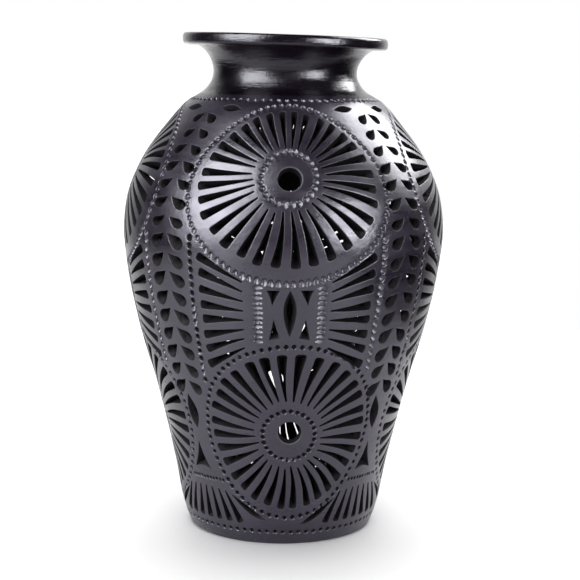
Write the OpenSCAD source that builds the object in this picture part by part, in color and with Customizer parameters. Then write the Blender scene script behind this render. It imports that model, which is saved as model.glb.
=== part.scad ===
// Pierced burnished black clay vase. Millimetres, +Z up, origin at the centre
// of the foot. The wall is built up in courses luted edge to edge; each course
// is one node, and the pierced ornament runs across the seams as it does on a
// vase that is carved once its wall stands complete.

/* [Wall] */
// Thickness of the clay wall
wall = 5; // [4:0.5:6]
// Thickness of the floor
floor_thickness = 6; // [4:0.5:8]
// Radius of the floor disc inside the foot ring
floor_radius = 46; // [43:0.5:47]
// Radius of the straight throat inside the neck
throat_radius = 34; // [32:0.5:35]
// Outer radius of the turned-out lip
lip_radius = 56.5; // [53:0.5:60]

/* [Medallions] */
// Number of tapering slots round each medallion
medallion_slots = 32; // [24:2:34]
// Width of a slot at its rounded outer end
slot_width = 4.8; // [3:0.2:5]
// Width of a slot at its inner tip
slot_tip = 0.9; // [0.6:0.1:1.4]
// Diameter of the round hole at each medallion's hub
hub_hole = 12.6; // [8:0.2:15]
// Sideways shift of the lower medallion, in degrees round the pot
lower_shift = 2; // [0:0.5:3]

/* [Bands and fans] */
// Number of drop-shaped holes up each side of a panel
drop_count = 16; // [8:1:16]
// Number of slots in each side fan
side_slots = 8; // [5:1:8]
// Number of slots in each fan at the foot
foot_slots = 7; // [3:2:7]

/* [Hidden] */
panels = 4;
pitch = 360 / panels;
clay = [0.19, 0.18, 0.2];
burnished = [0.1, 0.09, 0.1];
// Heights of the luted seams
seam_foot = 10;
seam_lower = 50;
seam_middle = 108;
seam_waist = 146;
seam_belly = 190;
seam_shoulder = 242;
seam_throat = 254;
seam_neck = 267;
top = 273;
// Ends of the straight throat
throat_low = 247;
throat_high = 260;

// ---- outline: a smooth curve through the widths that give the pot its form
form = [[51.4, 0], [54.2, 8], [60.2, 37], [70.4, 79], [80.4, 114], [87, 147], [89, 168],
        [86.4, 188], [77.7, 208], [65.9, 224.3], [54.3, 237.4], [44.2, 245.6], [39.8, 250.8],
        [39.4, 254.2], [40.8, 259.2], [45.9, 265.6], [48.2, 267]];
last = len(form) - 1;
function gap(i) = norm(form[i + 1] - form[i]);
function heading(i) =
    i == 0 ? (form[1] - form[0]) / gap(0) :
    i == last ? (form[last] - form[last - 1]) / gap(last - 1) :
    ((form[i] - form[i - 1]) / gap(i - 1) * gap(i) + (form[i + 1] - form[i]) / gap(i) * gap(i - 1))
        / (gap(i - 1) + gap(i));
function curve(i, t) =
    (2 * t * t * t - 3 * t * t + 1) * form[i] + (t * t * t - 2 * t * t + t) * gap(i) * heading(i)
    + (3 * t * t - 2 * t * t * t) * form[i + 1] + (t * t * t - t * t) * gap(i) * heading(i + 1);
function bands(i) = ceil(gap(i) / (i > 9 ? 4.6 : 9));
outer = concat([for (i = [0 : last - 1]) for (j = [0 : bands(i) - 1]) curve(i, j / bands(i))],
               [form[last]]);
function flow(line, i) = let (a = line[max(i - 1, 0)], b = line[min(i + 1, len(line) - 1)])
    (b - a) / norm(b - a);
// inner face of the wall, one wall thickness in from the outline
inner = [for (i = [0 : len(outer) - 1])
            let (d = flow(outer, i)) outer[i] - wall * [d[1], -d[0]]];

// ---- places on the wall: an angle round the pot and a length up its outline
arcs = [for (i = 0, s = 0; i < len(outer);
             s = s + (i + 1 < len(outer) ? norm(outer[i + 1] - outer[i]) : 0), i = i + 1) s];
by_arc_r = [for (i = [0 : len(outer) - 1]) [arcs[i], outer[i][0]]];
by_arc_z = [for (i = [0 : len(outer) - 1]) [arcs[i], outer[i][1]]];
outer_by_z = [for (p = outer) [p[1], p[0]]];
inner_by_z = [for (p = inner) [p[1], p[0]]];
arc_by_z = [for (i = [0 : len(outer) - 1]) [outer[i][1], arcs[i]]];
function rad(s) = lookup(s, by_arc_r);
function lift(s) = lookup(s, by_arc_z);
function at(a, s) = [rad(s) * sin(a), -rad(s) * cos(a), lift(s)];
function rise(s) = let (d = [rad(s + 3) - rad(s - 3), lift(s + 3) - lift(s - 3)]) d / norm(d);
function mid(list) = [for (k = [0, 1]) (min([for (p = list) p[k]]) + max([for (p = list) p[k]])) / 2];

// The part of an outline between two heights, ended exactly on both
function span(line, table, z0, z1) = concat([[lookup(z0, table), z0]],
    [for (p = line) if (p[1] > z0 + 0.6 && p[1] < z1 - 0.6) p], [[lookup(z1, table), z1]]);
function back(list) = [for (i = [len(list) - 1 : -1 : 0]) list[i]];

// A straight-sided hole through the wall, square to it at the hole's middle.
// The outline is a list of [angle, length up the wall].
module pierce(outline) {
    c = mid(outline);
    d = rise(c[1]);
    o = at(c[0], c[1]);
    ea = [cos(c[0]), sin(c[0]), 0];
    es = [d[0] * sin(c[0]), -d[0] * cos(c[0]), d[1]];
    n = [d[1] * sin(c[0]), -d[1] * cos(c[0]), -d[0]];
    flat = [for (p = outline) let (v = at(p[0], p[1]) - o) [v * ea, v * es]];
    multmatrix([[ea[0], es[0], n[0], o[0]], [ea[1], es[1], n[1], o[1]],
                [ea[2], es[2], n[2], o[2]], [0, 0, 0, 1]])
        translate([0, 0, -wall - 5]) linear_extrude(height = wall + 9) polygon(flat);
}

// A round hole, square to the wall
module drill(a, s, d) {
    t = rise(s);
    o = at(a, s);
    multmatrix([[cos(a), t[0] * sin(a), t[1] * sin(a), o[0]],
                [sin(a), -t[0] * cos(a), -t[1] * cos(a), o[1]],
                [0, t[1], -t[0], o[2]], [0, 0, 0, 1]])
        translate([0, 0, -wall - 5]) cylinder(h = wall + 9, d = d, $fn = 48);
}

// ---- ornament of one panel, as outlines of [angle, length up the wall]
// A tapering slot from a narrow tip to a rounded wide end, on a flat sheet
function slot_flat(tip, end, w0, w1) =
    let (d = (end - tip) / norm(end - tip), p = [-d[1], d[0]], c = end - d * w1 / 2)
    concat([tip + p * w0 / 2], [for (t = [0 : 45 : 180]) c + w1 / 2 * (d * sin(t) + p * cos(t))],
           [tip - p * w0 / 2]);
// The same, laid on the wall round a centre [angle, length]
function lay(list, c) = [for (p = list) [c[0] + p[0] / rad(c[1]) * 180 / PI, c[1] + p[1]]];

// medallion: [hub, half width, half height, focus height]
upper = [[0, 205.5], 48, 45, 3.5];
lower = [[lower_shift, 68], 43, 46, -2.5];
function ray(i) = i * 360 / medallion_slots + 5;
function medallion_slot(m, i) =
    let (a = ray(i), q = [m[1] * cos(a), m[2] * sin(a)], f = [0, m[3]])
    lay(slot_flat(f + 0.42 * (q - f), q, slot_tip, slot_width), m[0]);

// Side fan between the two medallions, s = -1 left, +1 right
function side_slot(s, i) =
    let (k = side_slots == 1 ? 0 : i * 7 / (side_slots - 1), c = [s * 23, 140],
         u = rad(140) * PI / 180)
    lay(slot_flat([-s * 7.7 * u, 13 - 5.1 * k], [s * 8.2 * u, 26 - 8.6 * k], slot_tip, 4.4), c);

// Crossed bars: the gaps left between two interlaced crosses
cross = [1, 136];
function cross_gap(list, s) = [for (p = list) [cross[0] + s * p[0], p[1]]];
almond = [[0, 149], [1.9, 143.5], [2.4, 138.5], [1.7, 131.5], [0, 123.8],
          [-1.7, 131.5], [-2.4, 138.5], [-1.9, 143.5]];
upper_gap = [[3.4, 150], [8, 150], [6.9, 146.5], [6.2, 141.8]];
lower_gap = [[5.5, 133.5], [3.5, 123], [7.5, 122], [6.3, 128]];

// Drop-shaped holes that climb the band between two panels
function drop(s, i) =
    let (y = 242 - i * 152 / (drop_count - 1), f = y > 180 ? 0.78 : 1)
    [for (p = [[3.6, 4.2], [-1.4, 2.9], [-2.9, 0.8], [-2.9, -2], [-1.4, -4], [0.8, -3.3]])
        [s * (40.4 + p[0]), y + f * p[1]]];
lens = [[24.5, 248.6], [29, 251], [33, 251.4], [37, 249.6], [33.5, 247], [29.5, 246.8]];

// Band between two lower medallions: an upright almond and a triangle
band_almond = [[-1.4, 86], [1.9, 78.5], [3, 74.5], [2, 69], [0.8, 65.5], [-1.6, 69.5],
               [-3, 75], [-2.6, 81]];
band_triangle = [[0, 58], [1.6, 49.5], [5.6, 41.4], [0, 43.4], [-5.6, 41.4], [-1.6, 49.5]];

// Fan at the foot, spreading below a band
function foot_slot(i) =
    let (k = i - (foot_slots - 1) / 2, g = 6 / (foot_slots - 1), u = rad(22) * PI / 180)
    lay(slot_flat([k * g * 4.4 * u, 9.5 - 0.12 * k * k], [k * g * 7 * u, -10],
        slot_tip, 4.1), [45, 22]);
// long curved gap that closes the fan under a medallion
function foot_curve(s) = [for (p = [[16.2, 28.4], [20.5, 22.9], [26.5, 17.3], [33, 13.6], [35.6, 14],
                                     [29, 19.6], [21, 25.4]]) [45 + s * p[0], p[1]]];

// Every outline of one panel and the band on its right
ornament = concat(
    [for (i = [0 : medallion_slots - 1]) medallion_slot(upper, i)],
    [for (i = [0 : medallion_slots - 1]) medallion_slot(lower, i)],
    [for (s = [-1, 1]) for (i = [0 : side_slots - 1]) side_slot(s, i)],
    [cross_gap(almond, 1)],
    [for (s = [-1, 1]) cross_gap(upper_gap, s)],
    [for (s = [-1, 1]) cross_gap(lower_gap, s)],
    [for (s = [-1, 1]) for (i = [0 : drop_count - 1]) drop(s, i)],
    [for (s = [-1, 1]) [for (p = lens) [s * p[0], p[1]]]],
    [[for (p = band_almond) [45 + p[0], p[1]]], [for (p = band_triangle) [45 + p[0], p[1]]]],
    [for (i = [0 : foot_slots - 1]) foot_slot(i)],
    [for (s = [-1, 1]) foot_curve(s)]);

// One course of the pierced wall between two heights
module course(z0, z1) {
    s0 = lookup(z0, arc_by_z) - 2;
    s1 = lookup(z1, arc_by_z) + 2;
    difference() {
        rotate_extrude($fn = 96)
            polygon(concat(span(outer, outer_by_z, z0, z1), back(span(inner, inner_by_z, z0, z1))));
        for (k = [0 : panels - 1]) rotate([0, 0, k * pitch]) {
            for (h = ornament)
                if (max([for (p = h) p[1]]) > s0 && min([for (p = h) p[1]]) < s1) pierce(h);
            for (m = [upper, lower])
                if (m[0][1] > s0 && m[0][1] < s1) drill(m[0][0], m[0][1] + 1, hub_hole);
        }
    }
}

module base_disc() {
    // floor slab of the pot, luted inside the foot ring
    color(clay) cylinder(h = floor_thickness, r = floor_radius, $fn = 96);
}

module foot_ring() {
    // plain border the pot stands on, with a cove up from the floor
    r1 = lookup(seam_foot, inner_by_z);
    color(clay) rotate_extrude($fn = 96)
        polygon(concat(
            [[floor_radius, 0]],
            [[form[0][0] - 1.2, 0], [form[0][0] + 0.2, 1.1], [lookup(4, outer_by_z), 4]],
            [[form[1][0], form[1][1]], [lookup(seam_foot, outer_by_z), seam_foot]],
            [[r1, seam_foot], [floor_radius + (r1 - floor_radius) * 0.35,
                               floor_thickness + (seam_foot - floor_thickness) * 0.4],
             [floor_radius, floor_thickness]]));
}

module lower_course() { color(clay) course(seam_foot, seam_lower); }
module middle_course() { color(clay) course(seam_lower, seam_middle); }
module waist_course() { color(clay) course(seam_middle, seam_waist); }
module belly_course() { color(clay) course(seam_waist, seam_belly); }
module shoulder_course() { color(clay) course(seam_belly, seam_shoulder); }

module neck_base() {
    // burnished coil that closes the shoulder in to the throat
    color(burnished) rotate_extrude($fn = 96)
        polygon(concat(
            span(outer, outer_by_z, seam_shoulder, seam_throat),
            [[throat_radius, seam_throat], [throat_radius, throat_low],
             [lookup(seam_shoulder, inner_by_z), seam_shoulder]]));
}

module neck_flare() {
    // burnished coil that opens out again from the throat to the lip
    color(burnished) rotate_extrude($fn = 96)
        polygon(concat(
            span(outer, outer_by_z, seam_throat, seam_neck),
            [[throat_radius + 7, seam_neck], [throat_radius + 2, 262.6],
             [throat_radius, throat_high], [throat_radius, seam_throat]]));
}

module rim_lip() {
    // turned-out lip: a flat band with a soft edge, dished towards the mouth
    e = lip_radius;
    color(burnished) rotate_extrude($fn = 96)
        polygon([[throat_radius + 7, seam_neck], [form[last][0], seam_neck], [e - 4.5, 267.7],
                 [e - 1.2, 268.3], [e, 269.5], [e, 271.5], [e - 0.7, 272.6], [e - 2, top],
                 [e - 5, 272.5], [throat_radius + 11, 269.6]]);
}

base_disc();
foot_ring();
lower_course();
middle_course();
waist_course();
belly_course();
shoulder_course();
neck_base();
neck_flare();
rim_lip();
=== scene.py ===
"""Pierced black clay vase: the visual model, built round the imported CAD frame.

The carved wall is made as one sheet laid out flat by a conformal map (angle round
the pot, length up its outline), cut and dented there, then wrapped on the outline
and split at the luted seams. Lengths are millimetres until a mesh is written.
"""
import math
import random

import bpy
import numpy as np
from mathutils import Matrix, Vector
from mathutils.geometry import delaunay_2d_cdt


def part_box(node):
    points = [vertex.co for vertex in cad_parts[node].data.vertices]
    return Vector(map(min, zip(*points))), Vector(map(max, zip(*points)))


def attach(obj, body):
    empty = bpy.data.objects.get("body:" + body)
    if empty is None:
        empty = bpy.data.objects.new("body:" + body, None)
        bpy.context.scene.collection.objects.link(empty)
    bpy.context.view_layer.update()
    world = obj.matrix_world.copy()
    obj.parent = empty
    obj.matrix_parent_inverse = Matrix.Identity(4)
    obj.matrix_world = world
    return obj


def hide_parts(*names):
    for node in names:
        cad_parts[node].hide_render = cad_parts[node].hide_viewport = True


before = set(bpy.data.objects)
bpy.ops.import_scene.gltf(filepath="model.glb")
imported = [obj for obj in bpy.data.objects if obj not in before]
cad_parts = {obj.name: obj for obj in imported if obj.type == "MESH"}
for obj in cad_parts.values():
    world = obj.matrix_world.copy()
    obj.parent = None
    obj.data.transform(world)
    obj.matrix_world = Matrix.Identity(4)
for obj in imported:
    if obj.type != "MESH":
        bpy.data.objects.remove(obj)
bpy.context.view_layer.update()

MM = 0.001
TURN = 2 * math.pi

# ---------------- driving sizes
FORM = [(51.4, 0), (54.2, 8), (60.2, 37), (70.4, 79), (80.4, 114), (87, 147), (89, 168),
        (86.4, 188), (77.7, 208), (65.9, 224.3), (54.3, 237.4), (43.0, 245.2), (40.3, 249.6),
        (39.6, 254.2), (40.8, 259.2), (45.9, 265.6), (48.2, 267)]
WALL = 5.0
PANELS = 4
COURSES = ["foot_ring", "lower_course", "middle_course", "waist_course", "belly_course",
           "shoulder_course"]
SEAM_Z = [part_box(name)[1].z / MM for name in COURSES]
FLOOR_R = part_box("base_disc")[1].x / MM
FLOOR_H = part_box("base_disc")[1].z / MM
THROAT_R = 34.0
LIP_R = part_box("rim_lip")[1].x / MM
TOP_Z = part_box("rim_lip")[1].z / MM

DEEP_MARK = 0.35    # how far into a deep mark the clay takes the raw clay's dull finish and darker colour, the darker colour being painted shade
GRID = 2.7          # spacing of the plain surface's points
GRID_INSIDE = 5.0   # and of the inner face's
SEAM_POINTS = 240   # points round a seam
LOWER_SHIFT = 2.0   # degrees that each lower medallion sits to one side
SLOTS = 32
SLOT_W = 4.8
SLOT_TIP = 0.9
HUB_R = 6.3

# Bevel round a cut edge: (distance out from the cut, depth below the surface)
EDGE = [(0.0, 0.085), (0.1, 0.04), (0.25, 0.012), (0.5, 0.0)]
HUB_EDGE = [(0.0, 0.5), (0.2, 0.18), (0.45, 0.05), (0.8, 0.0)]
EDGE_INSIDE = 0.4   # width of the same bevel at the inner face
# How far a cut's wall has narrowed at its upper and lower rows, over an even taper
SLOT_WALL = (0.0, 0.24)
FACET_WALL = (1.0, 1.0)
BEVEL_WIDTH = 0.3   # a slot's inner width over its outer width, at the broad end
BEVEL_END = 4.0     # how far its broad end slopes back
BEVEL_TIP = 5.0     # how far from its tip the knife first goes right through
ON_SEAM = 0.04      # a ring's point this near a seam is moved onto it
CAP = 0.36          # length of a slot's rounded end, over its width
CAP_SQUARE = 0.72   # 1 for a round end, less for a squarer one
TINY = 1e-12        # keeps a division away from zero


# ---------------- outline
def smooth_outline(knots, steps):
    """A Hermite curve through the knots, the same one that the CAD wall follows."""
    p = np.array(knots, float)
    gap = np.hypot(*np.diff(p, axis=0).T)[:, None]
    leg = np.diff(p, axis=0) / gap
    lead = (leg[:-1] * gap[1:] + leg[1:] * gap[:-1]) / (gap[:-1] + gap[1:])
    lead = np.vstack([leg[:1], lead, leg[-1:]])[:, None]
    t = np.linspace(0, 1, steps, endpoint=False)[None, :, None]
    line = ((2 * t**3 - 3 * t**2 + 1) * p[:-1, None] + (3 * t**2 - 2 * t**3) * p[1:, None]
            + gap[:, None] * ((t**3 - 2 * t**2 + t) * lead[:-1] + (t**3 - t**2) * lead[1:]))
    return np.vstack([line.reshape(-1, 2), p[-1:]])


def lengths(line):
    """How far along a line each of its points is."""
    return np.r_[0, np.cumsum(np.hypot(*np.diff(line, axis=0).T))]


LINE = smooth_outline(FORM, 40)
ARC = lengths(LINE)
LEAD = np.gradient(LINE, ARC, axis=0)
LEAD /= np.hypot(*LEAD.T)[:, None]
LOG_R = np.r_[0, np.cumsum(np.diff(ARC) * 2 / (LINE[1:, 0] + LINE[:-1, 0]))]
SEAM_S = [float(np.interp(z, LINE[:, 1], ARC)) for z in SEAM_Z]
S_TOP = SEAM_S[-1]


def radius(s):
    return np.interp(s, ARC, LINE[:, 0])


def outward(s):
    """The outline's outward normal, as (radial, upward)."""
    lr, lz = np.interp(s, ARC, LEAD[:, 0]), np.interp(s, ARC, LEAD[:, 1])
    size = np.hypot(lr, lz)
    return lz / size, -lr / size


def flat(a, s):
    """Conformal map of the outline's surface to a plane ring, so Delaunay works on it."""
    rho = np.exp(np.interp(s, ARC, LOG_R) - LOG_R[-1] / 2)
    return np.stack([rho * np.cos(a), rho * np.sin(a)], -1)


def unflat(xy):
    rho = np.hypot(xy[:, 0], xy[:, 1])
    return np.arctan2(xy[:, 1], xy[:, 0]), np.interp(np.log(rho) + LOG_R[-1] / 2, LOG_R, ARC)


# ---------------- the hand in it
def waves(seed, count, turns, pitch):
    """A smooth field round the pot: a few sine waves, (amplitude, turns, rise, phase)."""
    rng = random.Random(seed)
    return [(rng.uniform(0.4, 1) / count, rng.choice(turns) * rng.choice((-1, 1)),
             TURN / rng.uniform(*pitch), rng.uniform(0, 6.28)) for _ in range(count)]


def field(table, a, s):
    return sum(amp * np.sin(n * a + k * s + ph) for amp, n, k, ph in table)


SWELL = waves(3, 7, (1, 2, 3, 4), (70, 160))
RIPPLE = waves(5, 9, (7, 9, 12, 15), (18, 45))
DRIFT_A = waves(11, 6, (2, 3, 5), (60, 120))
DRIFT_S = waves(12, 6, (2, 3, 5), (60, 120))


def unevenness(a, s):
    """How far the scraped wall stands proud of the true outline."""
    calm = np.clip((S_TOP - s) / 12, 0, 1) * np.clip(s / 6, 0, 1)
    return calm * (0.3 * field(SWELL, a, s) + 0.16 * field(RIPPLE, a, s))


def drift(a, s):
    """Where a mark meant for (a, s) really lands: carved by eye, not by a grid."""
    calm = np.clip((S_TOP - s) / 10, 0, 1) * np.clip((s - 10) / 8, 0, 1)
    return a + calm * 0.9 * field(DRIFT_A, a, s) / radius(s), s + calm * 0.8 * field(DRIFT_S, a, s)


def at_angle(a, r, z):
    """Points or directions at an angle round the pot."""
    return np.stack(np.broadcast_arrays(r * np.sin(a), -r * np.cos(a), z), -1)


def wrap(a, s, lift):
    """Points on the pot: angle, length up the outline, and height off it."""
    nr, nz = outward(s)
    foot = 1.2 * np.clip(1 - s / 2.2, 0, 1) ** 2
    r = radius(s) - foot + nr * lift
    return at_angle(a, r, np.maximum(np.interp(s, ARC, LINE[:, 1]) + nz * lift, 0))


# ---------------- cut shapes
def anticlockwise(loop):
    x, y = loop[:, 0], loop[:, 1]
    return loop if np.sum(x * np.roll(y, -1) - y * np.roll(x, -1)) > 0 else loop[::-1]


def spaced(loop, step):
    """The loop with extra points wherever two are further apart than step."""
    out = []
    for p, q in zip(loop, np.roll(loop, -1, axis=0)):
        n = max(1, int(math.ceil(np.hypot(*(q - p)) / step)))
        out += [p + (q - p) * i / n for i in range(n)]
    return np.array(out)


def soften(points, sharp):
    """Corners cut twice over, apart from the sharp ones."""
    line = [(np.array(q, float), i in sharp) for i, q in enumerate(points)]
    for _ in range(2):
        out = []
        for i, (q, keep) in enumerate(line):
            sides = (line[i - 1][0], line[(i + 1) % len(line)][0])
            out += [(q, True)] if keep else [(q * 0.75 + p * 0.25, False) for p in sides]
        line = out
    return np.array([q for q, _ in line])


def grow(loop, d):
    """The loop moved outwards by d."""
    before, after = loop - np.roll(loop, 1, axis=0), np.roll(loop, -1, axis=0) - loop
    n1 = np.stack([before[:, 1], -before[:, 0]], -1) / np.hypot(*before.T)[:, None]
    n2 = np.stack([after[:, 1], -after[:, 0]], -1) / np.hypot(*after.T)[:, None]
    n = n1 + n2
    n /= np.maximum(np.hypot(*n.T), 0.2)[:, None]
    stretch = 1 / np.maximum((n * n1).sum(1), 0.62)
    return loop + d * n * stretch[:, None]


def wedge(tip, end, w0, w1, rng, bow=0.0):
    """A knife-cut slot from a narrow tip to a broad end with soft corners: its outer loop,
    and the loop that it narrows to inside, since the blade is turned to leave a bevel."""
    tip, end = np.array(tip, float), np.array(end, float)
    along = end - tip
    size = np.hypot(*along)
    along /= size
    side = np.array([-along[1], along[0]])
    w1 = w1 * rng.uniform(0.91, 1.07)
    bow += rng.uniform(-0.28, 0.28)
    lean = rng.uniform(-0.3, 0.3)
    turn = [math.radians(v) for v in (66, 44, 22, 0, -22, -44, -66)]
    n = max(4, int((size - w1 * CAP) / 2.6))
    loops = []
    for broad, fine, back, start in ((w1, w0, 0.0, 0.0),
                                     (w1 * BEVEL_WIDTH, w0 * 0.7, BEVEL_END, BEVEL_TIP)):
        cap = broad * CAP
        body = size - back - cap
        t = np.arange(n + 1) / n
        w = (fine + (broad - fine) * t ** 1.08) / 2
        sway = bow * np.sin(math.pi * t)
        x = start + 0.35 + t * (body - start - 0.35)
        left, right = np.stack([x, sway + w], -1), np.stack([x, sway - w], -1)
        round_end = [(body + (cap + lean * math.sin(v)) * abs(math.cos(v)) ** CAP_SQUARE,
                      broad / 2 * math.copysign(abs(math.sin(v)) ** CAP_SQUARE, v)) for v in turn]
        point = [(start + 0.08, -fine * 0.3), (start, 0.0), (start + 0.08, fine * 0.3)]
        loop = np.vstack([left, round_end, right[::-1], point])
        loops.append(tip + loop[:, :1] * along + loop[:, 1:] * side)
    return loops[0][::-1], loops[1][::-1]


def narrowed(loop, share):
    """The loop shrunk towards its own middle."""
    middle = loop.mean(0)
    return middle + (loop - middle) * share


def disc(r, n=44):
    t = np.linspace(0, TURN, n, endpoint=False)
    return np.stack([r * np.cos(t), r * np.sin(t)], -1)


class Pattern:
    """Every cut and dent on the wall, in angle (radians) and length up the outline."""

    def __init__(self):
        self.cuts = []   # (angles, lengths, shift of each point at the inner face, edge, wall)
        self.dents = []  # (angle, length, half height, half width, depth, slant, lean)

    def cut(self, base, scale, loop, inner, edge=EDGE, wall=SLOT_WALL):
        """A cut from a loop of (mm round the pot at radius scale, length up the outline), and
        the smaller loop that it narrows to at the inner face."""
        a, s = drift(math.radians(base) + loop[:, 0] / scale, loop[:, 1])
        self.cuts.append((a, s, inner - loop, edge, wall))

    def dent(self, deg, s, high, wide, depth, slant, rng, lean=-0.3):
        """A punch mark; lean makes it deeper on its right, or on its left when negative."""
        size = rng.uniform(0.9, 1.08)
        a, s = drift(math.radians(deg + rng.uniform(-0.12, 0.12)), s + rng.uniform(-0.2, 0.2))
        self.dents.append((float(a), float(s), high * size, wide * size,
                           depth * rng.uniform(0.85, 1.1), slant + rng.uniform(-0.12, 0.12), lean))


# A medallion. deg and s are its middle; wide and high are its half size, out to the slots' broad
# ends, less trim at the top; a slot's tip is the share start of its way out from the focus; bow
# bends the slots on the right and curl all of them; hub is the hub hole's place. ring_ is the
# punched ring round it and eye_ the one round the hub. dot is a mark's half height, half width
# and depth; fade is how much shallower the ring's top marks are.
UPPER = dict(deg=0.0, s=205.5, wide=48.0, high=45.0, trim=3.0, focus=3.5, start=0.39, bow=1.1,
             curl=0.0, hub=(0.4, 206.6), ring_s=201.7, ring_w=53.4, ring_h=49.5, ring_n=80,
             eye_s=207.3, eye_r=14.2, eye_n=25, dot=(2.2, 1.5, 1.15), fade=0.45)
LOWER = dict(deg=LOWER_SHIFT, s=68.0, wide=43.0, high=46.0, trim=0.0, focus=-2.5, start=0.42,
             bow=0.4, curl=0.45, hub=(LOWER_SHIFT + 0.4, 67.8), ring_s=67.5, ring_w=45.8,
             ring_h=50.7, ring_n=72, eye_s=66.0, eye_r=14.2, eye_n=26, dot=(1.42, 1.3, 1.8),
             fade=0.0)
# Angles from a panel's middle, and lengths up the outline
COLUMN = 34.4        # the punched columns at each side of a panel
COLUMN_S = (84.0, 205.0)
COLUMN_PITCH = 4.1
DROPS = 40.4         # the columns of drop-shaped holes
DROP_S = (90.0, 242.0)
DROP_COUNT = 16
SHOULDER_S = 180.0   # above this the drops are squat
BAND = 45.0          # the band's middle
CROSS = 1.0          # the crossed bars' middle
BAR_MARKS = 12       # chisel marks in the stack at each side of the bars
FAN_SLOTS = 8
FAN_TIP = (15.3, 153.0, 5.1)    # the side fan's highest tip, and the drop to each next one
FAN_END = (31.2, 166.0, 8.6)    # and the same for its broad ends
FAN_W = 4.8
FOOT_FAN_W = 4.1
BORDER_S = 36.4      # the short punched row above the foot fan
NECK_ROW = (76, 255.7)          # marks round the pot, and their length up the outline
FOOT_ROW = (80, 8.0)


def medallion(pat, base, m, rng):
    scale = radius(m["s"])
    centre = np.array([0, m["s"]])
    for i in range(SLOTS):
        a = math.radians(i * 360 / SLOTS + 5 + rng.uniform(-1.0, 1.0))
        end = np.array([m["wide"] * math.cos(a), m["high"] * math.sin(a)])
        end[1] -= m["trim"] * max(0, math.sin(a)) ** 2
        end *= 1 + rng.uniform(-0.012, 0.012)
        focus = np.array([0, m["focus"]])
        tip = focus + (m["start"] + rng.uniform(-0.025, 0.025)) * (end - focus)
        bow = m["bow"] * max(0, math.cos(a + 0.7)) + m["curl"]
        loop, inner = wedge(tip, end, SLOT_TIP, SLOT_W, rng, bow)
        pat.cut(base + m["deg"], scale, centre + loop, centre + inner)
    hub_deg, hub_s = m["hub"]
    hole = disc(HUB_R) + [0, hub_s]
    pat.cut(base + hub_deg, radius(hub_s), hole, narrowed(hole, 0.93), HUB_EDGE)
    high, wide, depth = m["dot"]

    def punch(a, across, up, s, broad, sunk, slant):
        pat.dent(base + m["deg"] + math.degrees(across * math.cos(a) / scale),
                 s + up * math.sin(a), high - (high - wide) * math.cos(a) ** 2, broad, sunk,
                 slant * math.cos(a), rng)

    for i in range(m["eye_n"]):
        a = TURN * (i + 0.3) / m["eye_n"]
        punch(a, m["eye_r"], m["eye_r"], m["eye_s"], wide * 1.05, depth, 0.35)
    turn = np.linspace(0, TURN, 721)
    across, up = m["ring_w"] * np.cos(turn) / scale, m["ring_s"] + m["ring_h"] * np.sin(turn)
    walked = np.r_[0, np.cumsum(np.hypot(np.diff(across) * radius(up[1:]), np.diff(up)))]
    for i in range(m["ring_n"]):
        a = float(np.interp(walked[-1] * i / m["ring_n"], walked, turn))
        shallow = 1 - m["fade"] * max(0, math.sin(a)) ** 3
        punch(a, m["ring_w"], m["ring_h"], m["ring_s"], wide, depth * shallow, 0.3)


def outside_ring(m, deg, s, gap):
    """Whether a mark lies clear outside a medallion's punched ring."""
    u = math.radians(deg - m["deg"]) * radius(m["s"])
    v = s - m["ring_s"]
    return math.hypot(u / (m["ring_w"] + gap), v / (m["ring_h"] + gap)) > 1


def side_fans(pat, base, rng):
    scale = radius(140)
    step = scale * math.pi / 180
    for side in (-1, 1):
        for i in range(FAN_SLOTS):
            tip, end = (np.array([side * deg * step, top - drop * i])
                        for deg, top, drop in (FAN_TIP, FAN_END))
            end += rng.uniform(-0.4, 0.4)
            pat.cut(base, scale, *wedge(tip, end, SLOT_TIP, FAN_W, rng))


def shape(pat, deg, s, corners, sharp, mirror=1, facet=(0.0, 0.0)):
    """A free-form cut given as (degrees, mm) corners round a centre; facet moves its inner
    end sideways, so that the wall left behind shows as a sloping face."""
    scale = radius(s) * math.pi / 180
    loop = soften([(mirror * d * scale, v) for d, v in corners], sharp)
    loop = spaced(anticlockwise(loop), 1.6) + [0, s]
    pat.cut(deg, radius(s), loop, narrowed(loop, 0.48) + facet, wall=FACET_WALL)


def crossed_bars(pat, base, rng):
    c = base + CROSS
    shape(pat, c, 136.5, [(0, 12.7), (1.9, 7), (2.45, 1), (1.7, -6), (0, -12.8), (-1.7, -6),
                          (-2.45, 1), (-1.9, 7)], (0, 4))
    for side in (-1, 1):
        shape(pat, c + side * 6, 145.2, [(-2.5, 3.9), (2.1, 3.9), (0.9, 0.5), (0.25, -4.4)],
              (0, 1, 3), side)
        shape(pat, c + side * 5.7, 128, [(0, 5.6), (-2.2, -4.9), (1.8, -6), (0.7, 0.4)],
              (0, 1, 2), side)
        for i in range(BAR_MARKS):
            pat.dent(c + side * 11.2, 121.2 + 2.66 * i, 1.12, 2.6, 0.85, 0, rng, side * 0.2)


def drops(pat, base, rng):
    for side in (-1, 1):
        for i in range(DROP_COUNT):
            s = DROP_S[1] - i * (DROP_S[1] - DROP_S[0]) / (DROP_COUNT - 1) + rng.uniform(-0.3, 0.3)
            squat = 0.8 if s > SHOULDER_S else 1.0
            size = rng.uniform(0.93, 1.05)
            corners = [(3.7, 4.4), (1.2, 3.5), (-1.5, 3.0), (-3.1, 0.9), (-3.2, -2.0),
                       (-1.5, -4.2), (0.9, -3.6), (2.3, -0.6)]
            shape(pat, base + side * DROPS, s, [(d * size, v * squat * size) for d, v in corners],
                  (0,), side, facet=(-side * 0.9, 1.1 * squat))
        shape(pat, base + side * 30.8, 249.2, [(-6.4, -0.8), (-1.8, 2.2), (2.2, 2.4), (6.3, 0.4),
                                              (2.7, -2.3), (-1.3, -2.5)], (0, 3), side)


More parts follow.
